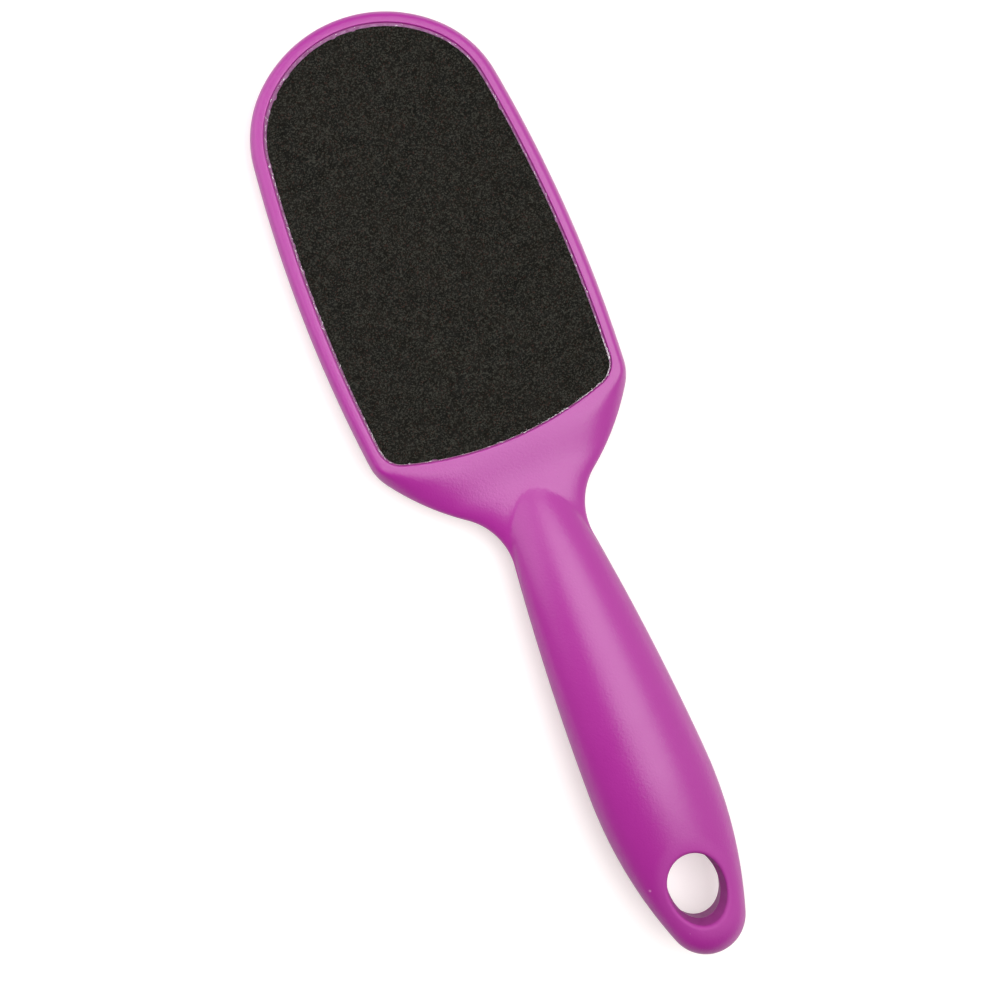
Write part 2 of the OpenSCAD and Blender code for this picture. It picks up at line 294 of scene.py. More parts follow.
def plan(d):
    # Half width of the outline at d, and that times its slope
    d = np.asarray(d, float)
    w, run, todo = np.zeros_like(d), np.zeros_like(d), np.ones(d.shape, bool)
    for c, r, bow, first, last in bodyArcs:
        end = c[1] - bow * r * math.cos(last)
        here = todo & ((d <= end) | (last == math.pi))
        off = d[here] - c[1]
        rise = bow * np.sqrt(np.maximum(r * r - off * off, 1e-12))
        w[here] = c[0] + rise
        run[here] = -off if c[0] == 0 else -w[here] * off / rise
        todo &= ~here
    return w, run


def insetAt(x, d):
    # Distance in from the outline
    x, d = np.abs(x), np.asarray(d, float)
    best = np.full(np.broadcast(x, d).shape, 1e9)
    for c, r, bow, first, last in bodyArcs:
        across, along = bow * (x - c[0]), bow * (d - c[1])
        angle = np.arctan2(across, -along)
        gap = bow * (r - np.hypot(across, along))
        reached = (angle >= min(first, last) - 1e-9) & (angle <= max(first, last) + 1e-9)
        best = np.where(reached & (gap < best), gap, best)
    return np.maximum(best, 0)


def roundEdge(inset, width, crown, brink):
    left = 1 - np.minimum(inset / width, 1)
    return (1 - left ** crown) ** (1 / brink)


def blendMax(a, b, k):
    m = np.maximum(a, b)
    s = np.minimum(k, m)
    return m + np.maximum(s - np.abs(a - b), 0) ** 2 / np.maximum(s, 1e-9) / 4


def plateHeight(x, d):
    b = body
    scoop = ease((d - recess["endAt"]) / (b["scoopEnd"] - recess["endAt"]))
    flat = b["headHalf"] - b["scoopDepth"] * scoop
    first, last = b["shoulderEdge"]
    grow = ease((d - first) / (last - first))
    width = b["edgeWidth"] + (b["shoulderEdgeWidth"] - b["edgeWidth"]) * grow
    crown, brink = 2 + (b["crownPower"] - 2) * grow, 2 + (b["brinkPower"] - 2) * grow
    left = 1 - ease((d - b["neckAt"]) / b["runout"])
    return flat * left * roundEdge(insetAt(x, d), width, crown, brink)


def domeShare(d, power):
    t = np.clip((d - body["domeAt"]) / (body["domeEnd"] - body["domeAt"]), 0, 1)
    return (1 - (1 - t) ** power) ** (1 / power)


def spineHeight(d):
    b = body
    rise = np.sin(math.pi / 2 * np.clip((d - b["neckAt"]) / (b["thickestAt"] - b["neckAt"]), -1, 1))
    fall = ease((d - b["thickestAt"]) / (b["length"] - b["thickestAt"]))
    nose = np.clip((d - b["length"] + b["noseLength"]) / b["noseLength"], 0, 1)
    front, back = b["bellyThick"] - b["neckThick"], b["bellyThick"] - b["tailThick"]
    thick = b["neckThick"] + front * rise - back * fall
    return thick / 2 * domeShare(d, b["risePower"]) * np.sqrt(np.maximum(1 - nose * nose, 0))


def gripWidth(d):
    # Half width; the taper's arc runs on into the dome
    c, r = bodyCircles()[6][:2]
    start = bodyArcs[6][0][1] - bodyArcs[6][1] * math.cos(bodyArcs[6][3])
    own = c[0] + np.sqrt(np.maximum(r * r - (d - c[1]) ** 2, 0))
    return np.where(d < start, own, plan(d)[0]) * domeShare(d, body["domePower"])


def gripHeight(x, d):
    share = np.minimum(np.abs(x) / np.maximum(gripWidth(d), 1e-9), 1)
    return spineHeight(d) * np.sqrt(1 - share * share)


def outerHeight(x, d):
    x, d = np.asarray(x, float), np.asarray(d, float)
    sides = ease((d - body["domeAt"]) / (body["neckAt"] - body["domeAt"]))
    blend = body["creaseBlend"] + (body["flankBlend"] - body["creaseBlend"]) * sides
    return blendMax(plateHeight(x, d), gripHeight(x, d), blend)


def inside(points, loop):
    # Even-odd test of many points against one closed loop
    x, y = points[:, 0], points[:, 1]
    found = np.zeros(len(points), bool)
    for (x1, y1), (x2, y2) in zip(loop, np.roll(loop, -1, axis=0)):
        if y1 == y2:
            continue
        found ^= ((y1 > y) != (y2 > y)) & (x < (x2 - x1) * (y - y1) / (y2 - y1) + x1)
    return found


def hexGrid(low, high, spacing):
    rows = np.arange(low[1], high[1], spacing * math.sqrt(3) / 2)
    cols = np.arange(low[0], high[0], spacing)
    grid = [np.stack([cols + (i % 2) * spacing / 2, np.full(len(cols), y)], 1) for i, y in enumerate(rows)]
    return np.concatenate(grid)


class Skin:
    # Gathers vertices and faces of one piece
    def __init__(self):
        self.points, self.faces = [], []

    def add(self, xd, z):
        first = len(self.points)
        z = np.broadcast_to(z, len(xd))
        self.points += [(x, d, h) for (x, d), h in zip(xd, z)]
        return list(range(first, len(self.points)))

    def strip(self, a, b):
        n = len(a)
        self.faces += [(a[i], a[(i + 1) % n], b[(i + 1) % n], b[i]) for i in range(n)]
        return b

    def fill(self, outer, holes, height, spacing, lines=(), flip=False):
        # Triangles between the loop outer and the loops in holes, on the surface height(x, d)
        loops = [outer, *holes]
        flat = np.array(self.points)[:, :2]
        known = [i for loop in loops for i in loop]
        fixed = flat[known]
        edges, at = [], 0
        for loop in loops:
            edges += [(at + i, at + (i + 1) % len(loop)) for i in range(len(loop))]
            at += len(loop)
        extra = []
        for line in lines:
            edges += [(at + i, at + i + 1) for i in range(len(line) - 1)]
            at += len(line)
            extra.append(line)
        held = np.concatenate([fixed, *extra])
        tree = kdtree.KDTree(len(held))
        for i, p in enumerate(held):
            tree.insert((p[0], p[1], 0), i)
        tree.balance()
        shape = flat[outer]
        grid = hexGrid(shape.min(0), shape.max(0), spacing)
        grid = grid[inside(grid, shape)]
        for hole in holes:
            grid = grid[~inside(grid, flat[hole])]
        nearest = spacing * 0.6  # grid points closer than this to a held one are left out
        grid = np.array([p for p in grid if tree.find((p[0], p[1], 0))[2] > nearest])
        every = np.concatenate([held, grid]) if len(grid) else held
        made = geometry.delaunay_2d_cdt([Vector(p) for p in every], edges, [], 0, 1e-7, True)
        spots = np.array([tuple(p) for p in made[0]])
        ids = []
        fresh = [i for i, origin in enumerate(made[3]) if not (origin and min(origin) < len(known))]
        heights = height(spots[fresh, 0], spots[fresh, 1]) if fresh else []
        place = dict(zip(fresh, self.add(spots[fresh], heights))) if fresh else {}
        for i, origin in enumerate(made[3]):
            ids.append(place[i] if i in place else known[min(origin)])
        tri = np.array(made[2])
        middle = spots[tri].mean(1)
        keep = inside(middle, shape)
        for hole in holes:
            keep &= ~inside(middle, flat[hole])
        step = -1 if flip else 1
        self.faces += [tuple(ids[v] for v in face)[::step] for face in tri[keep]]

    def build(self, name, mirror=False, smooth=40.0):
        # d runs against Y, so faces turn over once, and back again in the mirrored piece
        points = np.array(self.points)
        side = -1.0 if mirror else 1.0
        spots = np.stack([points[:, 0], body["length"] / 2 - points[:, 1], points[:, 2] * side], 1) * mm
        mesh = bpy.data.meshes.new(name)
        mesh.from_pydata(spots.tolist(), [], [f if mirror else f[::-1] for f in self.faces])
        mesh.validate()
        mesh.shade_smooth()
        mesh.set_sharp_from_angle(angle=math.radians(smooth))
        piece = bpy.data.objects.new(name, mesh)
        bpy.context.scene.collection.objects.link(piece)
        return piece


def creaseLines():
    # Lines along the foot of the handle's domed front, and beside it
    across = np.linspace(-crease["reach"], crease["reach"], crease["points"])
    low = np.full(len(across), body["domeAt"])
    high = np.full(len(across), body["neckAt"])
    for _ in range(crease["halvings"]):
        middle = (low + high) / 2
        under = gripHeight(across, middle) < plateHeight(across, middle)
        low, high = np.where(under, middle, low), np.where(under, high, middle)
    line = np.stack([across, low], 1)
    way = np.gradient(line, axis=0)
    normal = np.stack([way[:, 1], -way[:, 0]], 1) / np.linalg.norm(way, axis=1)[:, None]
    return [line + normal * off for off in crease["offsets"]]


def ovalAt(z, grow, angles):
    # The wall of the hang hole at height z, and its outward normal
    a = hangHole["halfWidth"] + z * math.tan(math.radians(hangHole["draft"]))
    b = hangHole["halfLength"] + z * math.tan(math.radians(hangHole["endDraft"]))
    normal = np.stack([np.cos(angles) / a, np.sin(angles) / b], 1)
    normal /= np.linalg.norm(normal, axis=1)[:, None]
    edge = np.stack([a * np.cos(angles), hangHole["at"] + b * np.sin(angles)], 1)
    return edge + normal * grow, normal


def flatAt(z):
    # Height function of a level face
    return lambda x, d: np.full(len(x), z)


def addLip(skin, loopAt, lip, steps):
    # Quarter round from the outer surface down to a wall, as its first and last rings
    first = last = None
    for turn in np.linspace(0, math.pi / 2, steps):
        loop = loopAt(1 - math.sin(turn))
        made = skin.add(loop, outerHeight(loop[:, 0], loop[:, 1]) - lip * (1 - math.cos(turn)))
        last = skin.strip(last, made) if last else made
        first = first or made
    return first, last


def addOuterEdge(skin):
    # Rounded outer edge, from the parting plane up
    b = body
    seam = skin.add(ring(bodyArcs, b["seamBevel"], b["ringSpacing"]), 0.0)
    last = skin.strip(seam, skin.add(ring(bodyArcs, 0.0, b["ringSpacing"]), b["seamBevel"]))
    for inset in b["ringInsets"]:
        loop = ring(bodyArcs, inset, b["ringSpacing"])
        last = skin.strip(last, skin.add(loop, outerHeight(loop[:, 0], loop[:, 1])))
    return seam, last


def addRecess(skin):
    # Rounded lip, wall, foot of the wall, and floor
    r = recess

    def loopAt(out):
        return ring(recessArcs, -r["lip"] * out, r["ringSpacing"])

    rim, last = addLip(skin, loopAt, r["lip"], r["lipSteps"])
    for inset, rise in r["foot"]:
        last = skin.strip(last, skin.add(ring(recessArcs, inset, r["ringSpacing"]), r["floor"] + rise))
    skin.fill(last, [], flatAt(r["floor"]), r["fillSpacing"])
    return rim


def addHoleWall(skin):
    # Rounded lip, drafted wall, and the seam's bevel
    h, bevel = hangHole, body["seamBevel"]
    lip = h["lip"]
    angles = np.linspace(0, 2 * math.pi, h["around"], endpoint=False)
    top = np.full(len(angles), body["tailThick"] / 2)
    for _ in range(h["settleRounds"]):
        edge, normal = ovalAt(top, 0, angles)
        top = outerHeight(edge[:, 0], edge[:, 1]) - lip
    rim, last = addLip(skin, lambda out: edge + normal * lip * out, lip, h["lipSteps"])
    for share in np.linspace(0, 1, h["wallSteps"] + 1)[1:]:
        z = top + (bevel - top) * share
        last = skin.strip(last, skin.add(ovalAt(z, 0, angles)[0], z))
    return rim, skin.strip(last, skin.add(ovalAt(0.0, bevel, angles)[0], 0.0))


def shellSkin():
    skin = Skin()
    seam, edge = addOuterEdge(skin)
    recessRim = addRecess(skin)
    holeRim, holeSeam = addHoleWall(skin)
    skin.fill(edge, [recessRim, holeRim], outerHeight, body["fillSpacing"], creaseLines())
    skin.fill(seam, [holeSeam], flatAt(0.0), hiddenSpacing, flip=True)
    return skin


def wander(loop, size, seed):
    # Smooth noise from -1 to 1 along a loop of (x, d)
    return np.array([noise.noise(Vector((x / size, d / size, seed))) for x, d in loop])


def wanderLayers(loop, layers):
    return sum(share * wander(loop, size, seed) for share, size, seed in layers)


def inward(loop):
    # Unit normals of a closed loop, pointing into it
    way = np.roll(loop, -1, axis=0) - np.roll(loop, 1, axis=0)
    return np.stack([-way[:, 1], way[:, 0]], 1) / np.linalg.norm(way, axis=1)[:, None]


def paperSkin():
    p = paper
    skin = Skin()
    base = ring(recessArcs, p["gap"], p["spacing"])
    way = inward(base)
    edge = base + way * (p["fray"] * (p["frayMean"] + wanderLayers(base, p["frayLayers"])))[:, None]

    def fuzz(loop, share):
        return p["fuzz"] * share * wander(loop, p["fuzzSize"], p["fuzzSeed"])

    under = skin.add(edge + way * p["bevel"], p["low"])
    last = skin.strip(under, skin.add(edge, p["low"] + p["bevel"]))
    last = skin.strip(last, skin.add(edge, p["high"] - p["bevel"] + fuzz(edge, 0.5)))
    for inset, drop in p["topRings"]:
        loop = edge + way * p["bevel"] * inset
        last = skin.strip(last, skin.add(loop, p["high"] - drop + fuzz(loop, 1.0)))
    skin.fill(last, [], flatAt(p["high"]), p["fillSpacing"])
    skin.fill(under, [], flatAt(p["low"]), hiddenSpacing, flip=True)
    return skin


def fibreWeights(base):
    # How likely a fibre is at each point of the margin
    f, w = fibres, fibres["weights"]
    end = np.clip((base[:, 1] - f["endFrom"]) / f["endOver"], 0, 1)
    left = np.clip(-base[:, 0] / f["leftOver"], 0, 1)
    right = np.clip(base[:, 0] / f["rightOver"] + 0.5, 0, 1)
    clumps = np.maximum(wander(base, f["clumpSize"], f["clumpSeed"]), 0)
    atEnd = end * (w["end"] + w["endRight"] * right)
    weight = w["anywhere"] + atEnd + w["left"] * left + w["clumps"] * clumps
    return weight / weight.sum()


def addFibre(skin, rng, root, inwards):
    # One bent three-sided fibre that tapers and arches over the paper
    f = fibres
    root = root + inwards * rng.uniform(*f["rootInset"])
    length = rng.uniform(*f["length"])
    thick = rng.uniform(*f["thick"])
    along = np.array((-inwards[1], inwards[0])) * rng.choice((-1, 1))
    turn = rng.normal(0, f["turn"])
    head = along * math.cos(turn) + inwards * math.sin(turn)
    bend = rng.normal(0, f["bend"])
    rise = rng.uniform(f["leastRise"], f["reach"] - paper["high"] - thick)
    start, stretch = f["arch"]
    last = f["rings"] - 1
    rings, spot = [], root
    for step in range(f["rings"]):
        t = step / last
        swing = np.array((head[0] * math.cos(bend * t) - head[1] * math.sin(bend * t),
                          head[0] * math.sin(bend * t) + head[1] * math.cos(bend * t)))
        side = np.array((-swing[1], swing[0]))
        z = paper["high"] - f["sink"] + rise * math.sin(math.pi * (start + stretch * t))
        size = thick * (1 - f["taper"] * t)
        corners = np.array([spot + side * size * math.cos(a) for a in f["corners"]])
        rings.append(skin.add(corners, np.array([z + size * math.sin(a) for a in f["corners"]])))
        spot = spot + swing * length / last
    for a, b in zip(rings, rings[1:]):
        skin.strip(a, b)
    skin.faces += [tuple(rings[0][::-1]), tuple(rings[-1])]


def addFibres(skin):
    rng = np.random.default_rng(fibres["seed"])
    base = ring(recessArcs, paper["gap"], fibres["rootSpacing"])
    way = inward(base)
    for i in rng.choice(len(base), fibres["count"], p=fibreWeights(base)):
        addFibre(skin, rng, base[i], way[i])


def coatHeight(x, d):
    return coat["high"] + coat["relief"] * wander(np.stack([x, d], 1), coat["reliefSize"], coat["reliefSeed"])


def coatSkin():
    c = coat
    skin = Skin()
    base = ring(recessArcs, c["inset"], c["spacing"])
    way = inward(base)
    rag = c["rag"] * wanderLayers(base, c["ragLayers"])
    chips = np.maximum(wander(base, c["chipSize"], c["chipSeed"]) - c["chipFrom"], 0) * c["chipGain"]
    edge = base + way * (rag + c["chip"] * chips)[:, None]
    edge[:, 1] += c["shift"]
    under = skin.add(edge + way * c["underInset"], c["low"])
    last = skin.strip(under, skin.add(edge, c["low"] + c["edgeStep"]))
    last = skin.strip(last, skin.add(edge + way * c["edgeLean"], c["high"] - c["edgeStep"]))
    for inset, drop in c["topRings"]:
        loop = edge + way * inset
        last = skin.strip(last, skin.add(loop, coatHeight(loop[:, 0], loop[:, 1]) - drop))
    skin.fill(last, [], coatHeight, c["fillSpacing"])
    skin.fill(under, [], flatAt(c["low"]), hiddenSpacing, flip=True)
    return skin


shellShape = shellSkin()
frontShell = shellShape.build("frontShellBody")
rearShell = shellShape.build("rearShellBody", mirror=True)
print("shells:", len(frontShell.data.vertices), "vertices each")

paperShape = paperSkin()
sheetFaces = len(paperShape.faces)
addFibres(paperShape)
frontPaper = paperShape.build("frontBackingPaper")
rearPaper = paperShape.build("rearBackingPaper", mirror=True)
print("papers:", len(frontPaper.data.vertices), "vertices each")

coatShape = coatSkin()
frontCoat = coatShape.build("frontAbrasiveCoat", smooth=60.0)
rearCoat = coatShape.build("rearAbrasiveCoat", mirror=True, smooth=60.0)
print("coats:", len(frontCoat.data.vertices), "vertices each")


def addNode(tree, kind, inputs=None, **settings):
    made = tree.nodes.new(kind)
    for key, value in settings.items():
        setattr(made, key, value)
    for key, value in (inputs or {}).items():
        if isinstance(value, bpy.types.NodeSocket):
            tree.links.new(value, made.inputs[key])
        else:
            made.inputs[key].default_value = value
    return made


def placeGroup(tree, group, inputs):
    return addNode(tree, "ShaderNodeGroup", inputs, node_tree=group).outputs


def maths(tree, operation, first, second):
    return addNode(tree, "ShaderNodeMath", {0: first, 1: second}, operation=operation).outputs[0]


def remap(tree, value, given, wanted=(0.0, 1.0)):
    # Carries a value from one range to another and holds it there
    ends = {"From Min": given[0], "From Max": given[1], "To Min": wanted[0], "To Max": wanted[1]}
    return addNode(tree, "ShaderNodeMapRange", {"Value": value, **ends}).outputs[0]


def mixColours(tree, share, first, second):
    return addNode(tree, "ShaderNodeMix", {0: share, 6: first, 7: second}, data_type="RGBA").outputs[2]


def addGroup(name, inputs, outputs):
    tree = bpy.data.node_groups.new(name, "ShaderNodeTree")
    for label, kind, value in inputs:
        socket = tree.interface.new_socket(label, in_out="INPUT", socket_type="NodeSocket" + kind)
        socket.default_value = value
    for label, kind in outputs:
        tree.interface.new_socket(label, in_out="OUTPUT", socket_type="NodeSocket" + kind)
    given = tree.nodes.new("NodeGroupInput").outputs
    return tree, given, tree.nodes.new("NodeGroupOutput").inputs


def inMillimetres(tree, size):
    # Object coordinates divided by a feature size in mm
    spot = addNode(tree, "ShaderNodeTexCoord").outputs["Object"]
    big = addNode(tree, "ShaderNodeVectorMath", {0: spot, "Scale": 1 / mm}, operation="SCALE").outputs[0]
    share = maths(tree, "DIVIDE", 1.0, size)
    return addNode(tree, "ShaderNodeVectorMath", {0: big, "Scale": share}, operation="SCALE").outputs[0]


def addNoise(tree, size, detail, roughness):
    inputs = {"Vector": inMillimetres(tree, size), "Scale": 1.0, "Detail": detail, "Roughness": roughness}
    return addNode(tree, "ShaderNodeTexNoise", inputs).outputs["Fac"]


def addCells(tree, size):
    # Distance from the nearest cell's middle, and the cell's random numbers
    inputs = {"Vector": inMillimetres(tree, size), "Scale": 1.0}
    cells = addNode(tree, "ShaderNodeTexVoronoi", inputs).outputs
    return cells["Distance"], addNode(tree, "ShaderNodeSeparateColor", {0: cells["Color"]}).outputs


def tintDriftGroup():
    # Slow change between two colours
    tree, given, out = addGroup(
        "tintDrift",
        [("Colour", "Color", (1, 1, 1, 1)), ("Other Colour", "Color", (0, 0, 0, 1)),
         ("Size", "Float", 20.0), ("Amount", "Float", 0.5)],
        [("Colour", "Color")],
    )
    usual = (0.32, 0.68)  # where most of the noise lies
    share = remap(tree, addNoise(tree, given["Size"], 3.0, 0.5), usual, (0.0, given["Amount"]))
    tree.links.new(mixColours(tree, share, given["Colour"], given["Other Colour"]), out["Colour"])
    return tree


def fineGrainGroup():
    # Small even relief, and its cloudier version for gloss
    tree, given, out = addGroup(
        "fineGrain",
        [("Size", "Float", 0.5), ("Cloud Size", "Float", 12.0),
         ("Least", "Float", 0.3), ("Most", "Float", 0.5)],
        [("Height", "Float"), ("Roughness", "Float")],
    )
    usual = (0.3, 0.7)  # where most of the noise lies
    cloud = addNoise(tree, given["Cloud Size"], 4.0, 0.6)
    tree.links.new(addNoise(tree, given["Size"], 3.0, 0.6), out["Height"])
    tree.links.new(remap(tree, cloud, usual, (given["Least"], given["Most"])), out["Roughness"])
    return tree


def dustGroup():
    # Sparse round specks: Cover is the share of cells that hold one
    tree, given, out = addGroup(
        "dustSpecks",
        [("Size", "Float", 0.3), ("Spread", "Float", 4.0), ("Cover", "Float", 0.3)],
        [("Mask", "Float")],
    )
    away, chance = addCells(tree, given["Spread"])
    held = maths(tree, "LESS_THAN", chance[0], given["Cover"])
    reach = maths(tree, "MULTIPLY", maths(tree, "DIVIDE", given["Size"], given["Spread"]), chance[1])
    near = maths(tree, "LESS_THAN", away, reach)
    tree.links.new(maths(tree, "MULTIPLY", held, near), out["Mask"])
    return tree


tintDrift = tintDriftGroup()
fineGrain = fineGrainGroup()
dustSpecks = dustGroup()


def startMaterial(name, finish):
    # Drifting tint and cloudy gloss; gives the tint and the grain for what is added to them
    f = finish
    material = bpy.data.materials.new(name)
    material.use_nodes = True
    tree = material.node_tree
    shader = tree.nodes["Principled BSDF"]
    tint = placeGroup(tree, tintDrift, {
        "Colour": f["colour"], "Other Colour": f["otherColour"], "Size": f["driftSize"], "Amount": f["drift"],
    })["Colour"]
    grain = placeGroup(tree, fineGrain, {
        "Size": f["grainSize"], "Cloud Size": f["cloudSize"],
        "Least": f["roughness"][0], "Most": f["roughness"][1],
    })
    tree.links.new(tint, shader.inputs["Base Color"])
    tree.links.new(grain["Roughness"], shader.inputs["Roughness"])
    shader.inputs["Specular IOR Level"].default_value = f["specular"]
    return material, tree, shader, tint, grain


def addRelief(tree, shader, height, depth):
    bump = addNode(tree, "ShaderNodeBump", {"Height": height, "Distance": depth * mm, "Strength": 1.0})
    tree.links.new(bump.outputs["Normal"], shader.inputs["Normal"])


def plainMaterial(name, finish):
    material, tree, shader, tint, grain = startMaterial(name, finish)
    addRelief(tree, shader, grain["Height"], finish["grainDepth"])
    return material


# Satin moulded magenta plastic
plastic = {
    "colour": (0.385, 0.0265, 0.29, 1),
    "otherColour": (0.37, 0.0235, 0.276, 1),
    "driftSize": 38.0,
    "drift": 0.8,
    "grainSize": 0.6,
    "grainDepth": 0.06,
    "cloudSize": 14.0,
    "roughness": (0.28, 0.33),  # lower values leave dark marks in the render
    "specular": 0.6,
    "wallRoughness": 0.65,  # the hang hole's lip and the front half of its wall are matt
    "wallMargin": 1.4,  # between the hole and the oval that wallFade counts in
    "wallFade": (1.08, 1.4),
    "wallFrom": 0.1,  # over the parting plane
    "dust": {"Size": 0.22, "Spread": 7.0, "Cover": 0.35},
    "dustShare": 0.55,
    "dustColour": (0.62, 0.34, 0.55, 1),
    "markShare": 0.75,
    "markCore": 0.3,  # share of the radius before a mark fades
    # Painted shade of a small pit and of a notch in the handle's crease
    "paintedPitShade": (0.16, 0.01, 0.11, 1),
    "paleMark": (0.70, 0.30, 0.58, 1),
    "spotsAndPitShade": (  # x, y, z and radius in mm, tone; the dark ones are painted shade of a small pit and of a notch in the crease
        (7.73, 1.77, 3.09, 0.32, "paintedPitShade"), (6.16, -1.84, 3.2, 0.42, "paintedPitShade"),
        (-3.4, -118.95, 5.95, 0.5, "paleMark"), (7.51, -113.49, 5.43, 0.3, "paleMark"),
        (-11.49, -105.83, 4.57, 0.45, "paleMark"),
    ),
}


def holeMask(tree, spot):
    # 1 on the hang hole's lip and the front half of its wall
    p = plastic
    middle = (0.0, (body["length"] / 2 - hangHole["at"]) * mm, 0.0)
    reach = (hangHole["halfWidth"] + p["wallMargin"], hangHole["halfLength"] + p["wallMargin"])
    ovalScale = (1 / mm / reach[0], 1 / mm / reach[1], 0.0)
    fromHole = addNode(tree, "ShaderNodeVectorMath", {0: spot, 1: middle}, operation="SUBTRACT").outputs[0]
    oval = addNode(tree, "ShaderNodeVectorMath", {0: fromHole, 1: ovalScale}, operation="MULTIPLY").outputs[0]
    away = addNode(tree, "ShaderNodeVectorMath", {0: oval}, operation="LENGTH").outputs["Value"]
    height = addNode(tree, "ShaderNodeSeparateXYZ", {0: spot}).outputs["Z"]
    front = maths(tree, "GREATER_THAN", height, p["wallFrom"] * mm)
    return maths(tree, "MULTIPLY", remap(tree, away, p["wallFade"], (1.0, 0.0)), front)


def plasticMaterial():
    p = plastic
    material, tree, shader, tint, grain = startMaterial("magentaPlastic", p)
    spot = addNode(tree, "ShaderNodeTexCoord").outputs["Object"]
    dust = maths(tree, "MULTIPLY", placeGroup(tree, dustSpecks, p["dust"])["Mask"], p["dustShare"])
    colour = mixColours(tree, dust, tint, p["dustColour"])
    # Small spots mixed into the colour; the dark ones are painted shade of a pit and of a notch in the crease
    for x, y, z, radius, tone in p["spotsAndPitShade"]:
        place = (x * mm, y * mm, z * mm)
        away = addNode(tree, "ShaderNodeVectorMath", {0: spot, 1: place}, operation="DISTANCE")
        fade = (p["markCore"] * radius * mm, radius * mm)
        share = remap(tree, away.outputs["Value"], fade, (p["markShare"], 0.0))
        colour = mixColours(tree, share, colour, p[tone])
    tree.links.new(colour, shader.inputs["Base Color"])
    gloss = remap(tree, holeMask(tree, spot), (0.0, 1.0), (grain["Roughness"], p["wallRoughness"]))
    tree.links.new(gloss, shader.inputs["Roughness"])
    addRelief(tree, shader, grain["Height"], p["grainDepth"])
    return material


# Paper given a dark greyish magenta, which is painted shade and painted magenta bounce light from the recess
# wall, and the bare white fibres at its cut edge
paperGrain = {
    "driftSize": 1.1,
    "drift": 1.0,
    "grainSize": 0.12,
    "grainDepth": 0.03,
    "cloudSize": 3.0,
    "specular": 0.3,
}
# The sheet's colours are painted shade and painted magenta bounce light
shadedSheetFinish = {
    "colour": (0.36, 0.17, 0.33, 1),
    "otherColour": (0.20, 0.06, 0.16, 1),
    "roughness": (0.7, 0.9),
    **paperGrain,
}
fibreFinish = {
    "colour": (0.95, 0.93, 0.94, 1),
    "otherColour": (0.7, 0.62, 0.68, 1),
    "roughness": (0.8, 0.95),
    **paperGrain,
}

# Clear yellowish adhesive film
filmFinish = {
    "colour": (0.72, 0.66, 0.55, 1),
    "otherColour": (0.62, 0.56, 0.45, 1),
    "driftSize": 5.0,
    "drift": 1.0,
    "grainSize": 0.4,
    "grainDepth": 0.02,
    "cloudSize": 4.0,
    "roughness": (0.3, 0.45),
    "specular": 0.5,
}

# Black mineral grains in resin
gritFinish = {
    "colour": (0.0026, 0.0027, 0.0016, 1),
    "otherColour": (0.0052, 0.0042, 0.0024, 1),
    "driftSize": 6.0,
    "drift": 1.0,
    "grainSize": 0.16,
    "cloudSize": 2.5,
    "roughness": (0.6, 0.9),
    "specular": 0.12,
    "mineralSize": 0.28,
    "mineralDepth": 0.05,
    "mineralGrey": (0.034, 0.033, 0.026, 1),
    "mineralBrown": (0.032, 0.016, 0.012, 1),
    "greyFrom": 0.45,  # share of the minerals that stay as dark as the resin
    "brownFrom": 0.86,  # share of them that aren't brown
}


def gritMaterial():
    g = gritFinish
    material, tree, shader, tint, grain = startMaterial("blackGrit", g)
    away, chance = addCells(tree, g["mineralSize"])
    brown = maths(tree, "GREATER_THAN", chance[1], g["brownFrom"])
    minerals = mixColours(tree, brown, g["mineralGrey"], g["mineralBrown"])
    colour = mixColours(tree, remap(tree, chance[0], (g["greyFrom"], 1.0)), tint, minerals)
    tree.links.new(colour, shader.inputs["Base Color"])
    crown = maths(tree, "SUBTRACT", 1.0, away)
    addRelief(tree, shader, maths(tree, "ADD", crown, grain["Height"]), g["mineralDepth"])
    return material


magentaPlastic = plasticMaterial()
backingPaper = plainMaterial("backingPaper", shadedSheetFinish)
paperFibres = plainMaterial("paperFibres", fibreFinish)
blackGrit = gritMaterial()
adhesiveFilm = plainMaterial("adhesiveFilm", filmFinish)


def dress(piece, *materials):
    piece.data.materials.clear()
    for material in materials:
        piece.data.materials.append(material)


for piece, node, slot, materials in (
    (frontShell, "front_shell", "shell_plastic", [magentaPlastic]),
    (rearShell, "rear_shell", "shell_plastic", [magentaPlastic]),
    (frontPaper, "front_backing", "backing_paper", [backingPaper, paperFibres]),
    (rearPaper, "rear_backing", "backing_paper", [backingPaper, paperFibres]),
    (frontCoat, "front_grit", "abrasive_coat", [blackGrit]),
    (rearCoat, "rear_grit", "abrasive_coat", [blackGrit]),
):
    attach(piece, "root")
    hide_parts(node)
    dress(piece, *materials)
for piece in (frontPaper, rearPaper):
    for face in piece.data.polygons[sheetFaces:]:
        face.material_index = 1
for node in ("front_adhesive", "rear_adhesive"):
    for place in bpy.data.objects[node].material_slots:
        place.material = adhesiveFilm
print("materials given")

# White floor that turns up into a backdrop all round, at the height the file rests at
floor = {
    "rings": (0.3, 0.7, 1.1, 1.7),  # radii in metres
    "curve": 0.2,  # radius in metres
    "curveSteps": 13,
    "around": 96,
    "gap": 0.02,  # mm under the file's lowest points
    # Warm tint of the glow near the middle: painted warm shade in the file's shadow
    "warmShadeTint": (1.0, 0.915, 0.865, 1),
    "nearGlow": 0.43,
    "farGlow": 1.0,
    "glowReach": (0.12, 0.5),  # metres from the middle
    # Distance to the right over which the painted reflection glow rises
    "mirrorReach": 0.085,
}
floorFinish = {
    "colour": (0.7, 0.68, 0.685, 1),
    "otherColour": (0.7, 0.68, 0.685, 1),
    "driftSize": 90.0,
    "drift": 0.5,
    "grainSize": 0.6,
    "cloudSize": 30.0,
    "roughness": (0.85, 0.95),
    "specular": 0.1,
}


